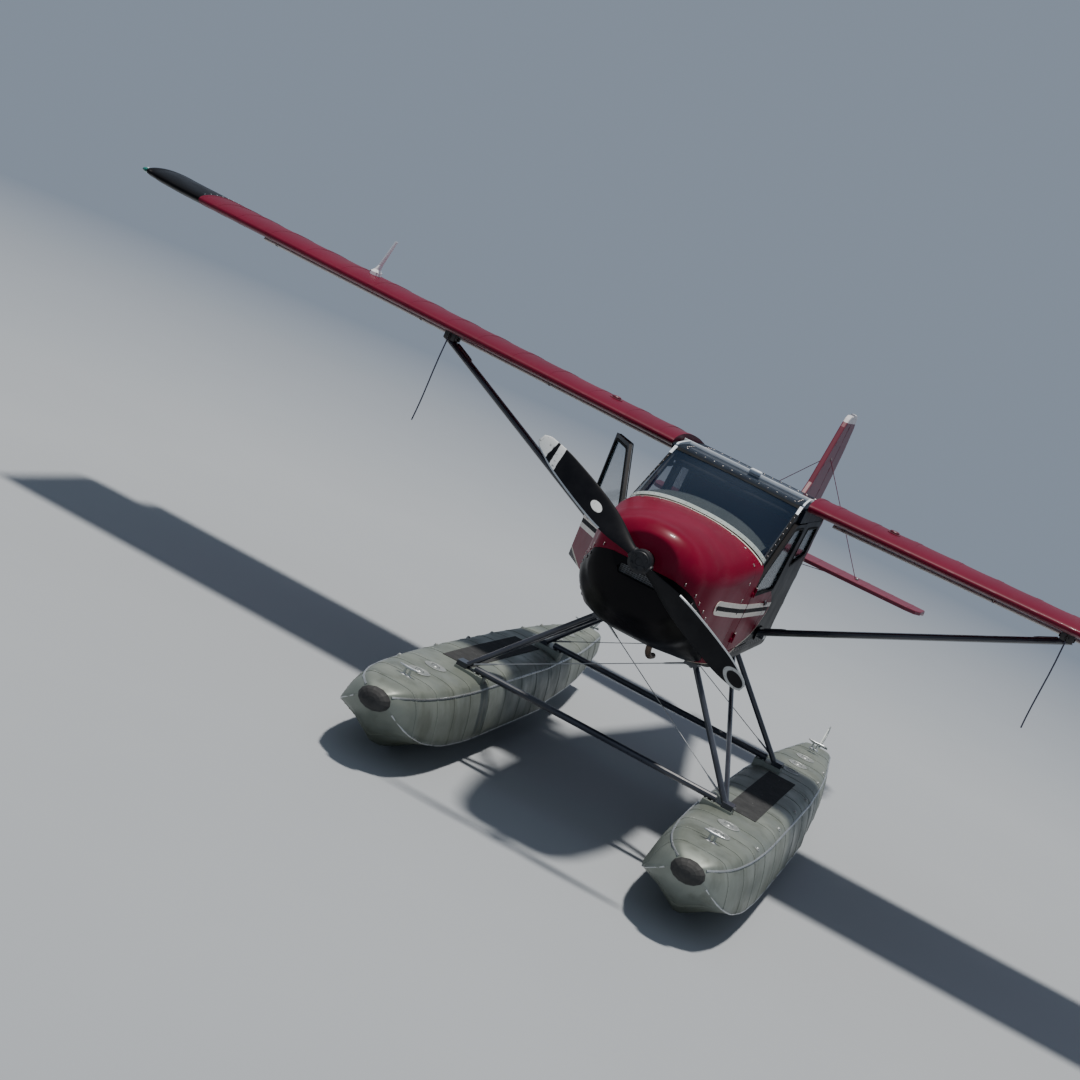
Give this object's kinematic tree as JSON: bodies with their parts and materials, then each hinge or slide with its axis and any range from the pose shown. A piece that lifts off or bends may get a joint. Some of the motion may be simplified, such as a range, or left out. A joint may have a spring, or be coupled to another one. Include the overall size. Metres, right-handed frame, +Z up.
{
  "type": "floatplane",
  "caption": "High-wing light aircraft on straight floats, with side-by-side seats, strut-braced wings, hung flaperons, a turning propeller, moving tail surfaces and front-hinged doors.",
  "frame": {"origin": "on the ground under the middle of the length, on the centreline; the float keels stand on z = 0", "axes": "+X to the aircraft's left along the span, +Y aft towards the tail, +Z up"},
  "size_m": [9.864, 6.132, 2.972],
  "materials": {
    "wing_cloth": "doped cloth, painted gloss maroon",
    "maroon_paint": "gloss maroon",
    "black_paint": "gloss black",
    "strut_paint": "dark blue-grey gloss",
    "flap_paint": "pale grey",
    "float_metal": "weathered bare sheet",
    "steel_tube": "satin",
    "engine_metal": "plain block",
    "pipe_metal": "heat stained",
    "blade_paint": "satin black composite",
    "clear_sheet": "clear",
    "seat_cloth": "grey woven",
    "panel_trim": "matt",
    "rubber": "matt",
    "rope": "braided",
    "roof_trim": "gloss maroon",
    "antenna_paint": "white",
    "red_lens": "clear red",
    "green_lens": "clear blue-green"
  },
  "bodies": {
    "airframe": {"wing_left": "wing_cloth", "wing_right": "wing_cloth", "rear_fuselage": "wing_cloth", "fin": "wing_cloth", "stabiliser_left": "wing_cloth", "stabiliser_right": "wing_cloth", "cowl_upper": "maroon_paint", "boot_cowl": "maroon_paint", "cabin_tub": "maroon_paint", "side_panel_left": "maroon_paint", "side_panel_right": "maroon_paint", "roof": "roof_trim", "cowl_lower": "black_paint", "wingtip_left": "black_paint", "wingtip_right": "black_paint", "lift_struts_left": "strut_paint", "lift_struts_right": "strut_paint", "float_left": "float_metal", "float_right": "float_metal", "cabin_frame": "steel_tube", "rudder_pedals": "steel_tube", "spreader_bar_front": "steel_tube", "spreader_bar_rear": "steel_tube", "prop_flange": "steel_tube", "float_struts_left": "steel_tube", "float_struts_right": "steel_tube", "engine_block": "engine_metal", "exhaust_pipe": "pipe_metal", "windscreen": "clear_sheet", "skylight": "clear_sheet", "quarter_window_left": "clear_sheet", "quarter_window_right": "clear_sheet", "seat_left": "seat_cloth", "seat_right": "seat_cloth", "instrument_panel": "panel_trim", "control_stick": "panel_trim", "bow_bumper_left": "rubber", "bow_bumper_right": "rubber", "mooring_rope_left": "rope", "mooring_rope_right": "rope", "antenna": "antenna_paint", "nav_light_left": "red_lens", "nav_light_right": "green_lens"},
    "propeller": {"propeller": "blade_paint"},
    "flaperon_left": {"flaperon_left": "flap_paint"},
    "flaperon_right": {"flaperon_right": "flap_paint"},
    "elevator": {"elevator": "wing_cloth"},
    "rudder": {"rudder": "wing_cloth"},
    "door_left": {"door_left": "maroon_paint", "door_glass_left": "clear_sheet"},
    "door_right": {"door_right": "maroon_paint", "door_glass_right": "clear_sheet"},
    "water_rudder_left": {"water_rudder_left": "float_metal"},
    "water_rudder_right": {"water_rudder_right": "float_metal"}
  },
  "joints": [
    {"name": "propeller_spin", "type": "hinge", "parent": "airframe", "child": "propeller", "pos_m": [0, -2.787, 1.848], "axis": [0, 1, 0], "continuous": true},
    {"name": "flaperon_left_hinge", "type": "hinge", "parent": "airframe", "child": "flaperon_left", "pos_m": [0.6, 0.188, 2.26547], "axis": [0.9998, 0, 0.0175], "range_deg": [-20, 20]},
    {"name": "flaperon_right_hinge", "type": "hinge", "parent": "airframe", "child": "flaperon_right", "pos_m": [-0.6, 0.188, 2.26547], "axis": [0.9998, 0, -0.0175], "range_deg": [-20, 20]},
    {"name": "elevator_hinge", "type": "hinge", "parent": "airframe", "child": "elevator", "pos_m": [0, 2.683, 1.735], "axis": [1, 0, 0], "range_deg": [-13, 37]},
    {"name": "rudder_hinge", "type": "hinge", "parent": "airframe", "child": "rudder", "pos_m": [0, 2.683, 2.4], "axis": [0, 0, 1], "range_deg": [-25, 25]},
    {"name": "door_left_hinge", "type": "hinge", "parent": "airframe", "child": "door_left", "pos_m": [0.509, -1.603, 1.66], "axis": [0, 0, -1], "range_deg": [0, 70]},
    {"name": "door_right_hinge", "type": "hinge", "parent": "airframe", "child": "door_right", "pos_m": [-0.509, -1.603, 1.66], "axis": [0, 0, 1], "range_deg": [-29, 41]},
    {"name": "water_rudder_left_hinge", "type": "hinge", "parent": "airframe", "child": "water_rudder_left", "pos_m": [1.05, 1.686, 0.42], "axis": [0, 0, 1], "range_deg": [-30, 30]},
    {"name": "water_rudder_right_hinge", "type": "hinge", "parent": "airframe", "child": "water_rudder_right", "pos_m": [-1.05, 1.686, 0.42], "axis": [0, 0, 1], "range_deg": [-30, 30]}
  ],
  "couplings": [
    {"joint": "water_rudder_left_hinge", "follows": "rudder_hinge", "ratio": 1},
    {"joint": "water_rudder_right_hinge", "follows": "rudder_hinge", "ratio": 1}
  ]
}
